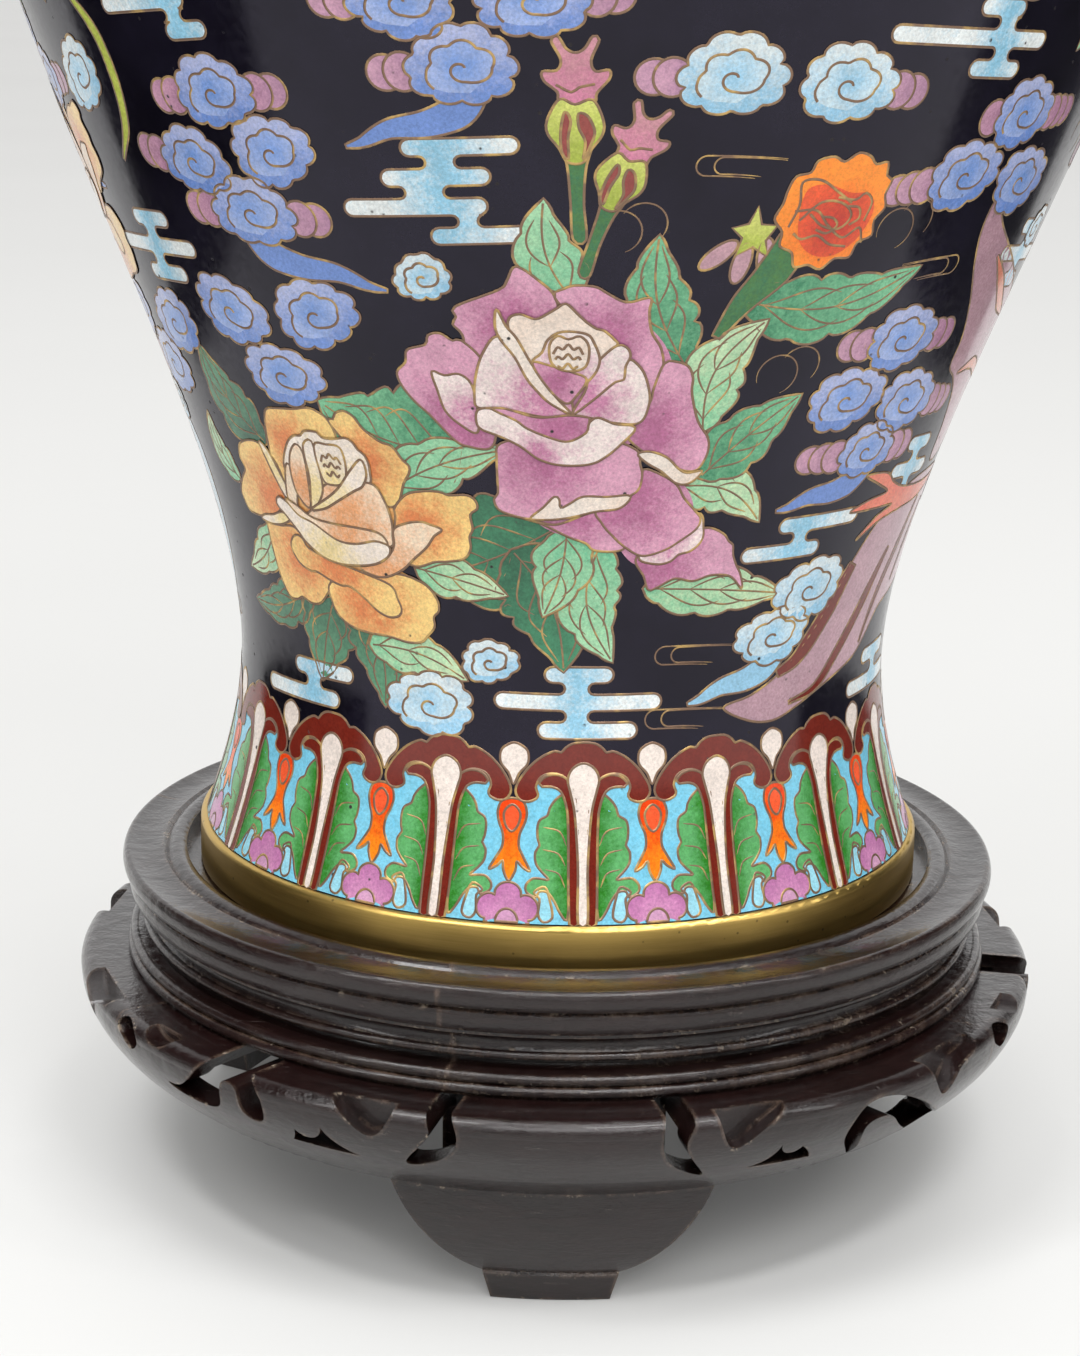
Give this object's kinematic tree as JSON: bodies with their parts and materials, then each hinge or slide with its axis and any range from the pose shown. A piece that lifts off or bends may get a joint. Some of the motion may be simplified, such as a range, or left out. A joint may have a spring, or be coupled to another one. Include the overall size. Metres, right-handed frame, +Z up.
{
  "type": "vase on stand",
  "caption": "Enamelled baluster vase with a flared foot and trumpet mouth that stands loose in the recess of a round carved wooden stand on short feet.",
  "frame": {"origin": "on the floor plane, on the common axis of vase and stand", "axes": "+Z up along the axis; -Y is the front, the side of the stand's front foot"},
  "size_m": [0.343, 0.343, 0.689],
  "materials": {
    "wood": "dark lacquered hardwood, semi-gloss",
    "brass": "gilt, satin",
    "copper": "sheet copper, covered by enamel on both sides",
    "enamel": "black enamel ground, polished",
    "counter_enamel": "blue-green lining enamel, glossy"
  },
  "bodies": {
    "stand": {"stand_seat_panel": "wood", "stand_rim_1": "wood", "stand_rim_2": "wood", "stand_rim_3": "wood", "stand_rim_4": "wood", "stand_frieze_1": "wood", "stand_frieze_2": "wood", "stand_frieze_3": "wood", "stand_frieze_4": "wood", "stand_apron_1": "wood", "stand_apron_2": "wood", "stand_apron_3": "wood", "stand_foot_1": "wood", "stand_foot_2": "wood", "stand_foot_3": "wood"},
    "vase": {"brass_foot_ring": "brass", "copper_base_plate": "copper", "base_counter_enamel": "counter_enamel", "copper_lower_wall": "copper", "copper_belly_wall": "copper", "copper_shoulder_wall": "copper", "copper_neck_wall": "copper", "copper_mouth_wall": "copper", "enamel_border": "enamel", "enamel_lower_body": "enamel", "enamel_belly": "enamel", "enamel_shoulder": "enamel", "enamel_neck": "enamel", "lining_body": "counter_enamel", "lining_neck": "counter_enamel", "brass_mouth_rim": "brass"}
  },
  "joints": [
    {"name": "vase_lift", "type": "slide", "parent": "stand", "child": "vase", "axis": [0, 0, 1], "range_m": [0, 0.06]}
  ]
}
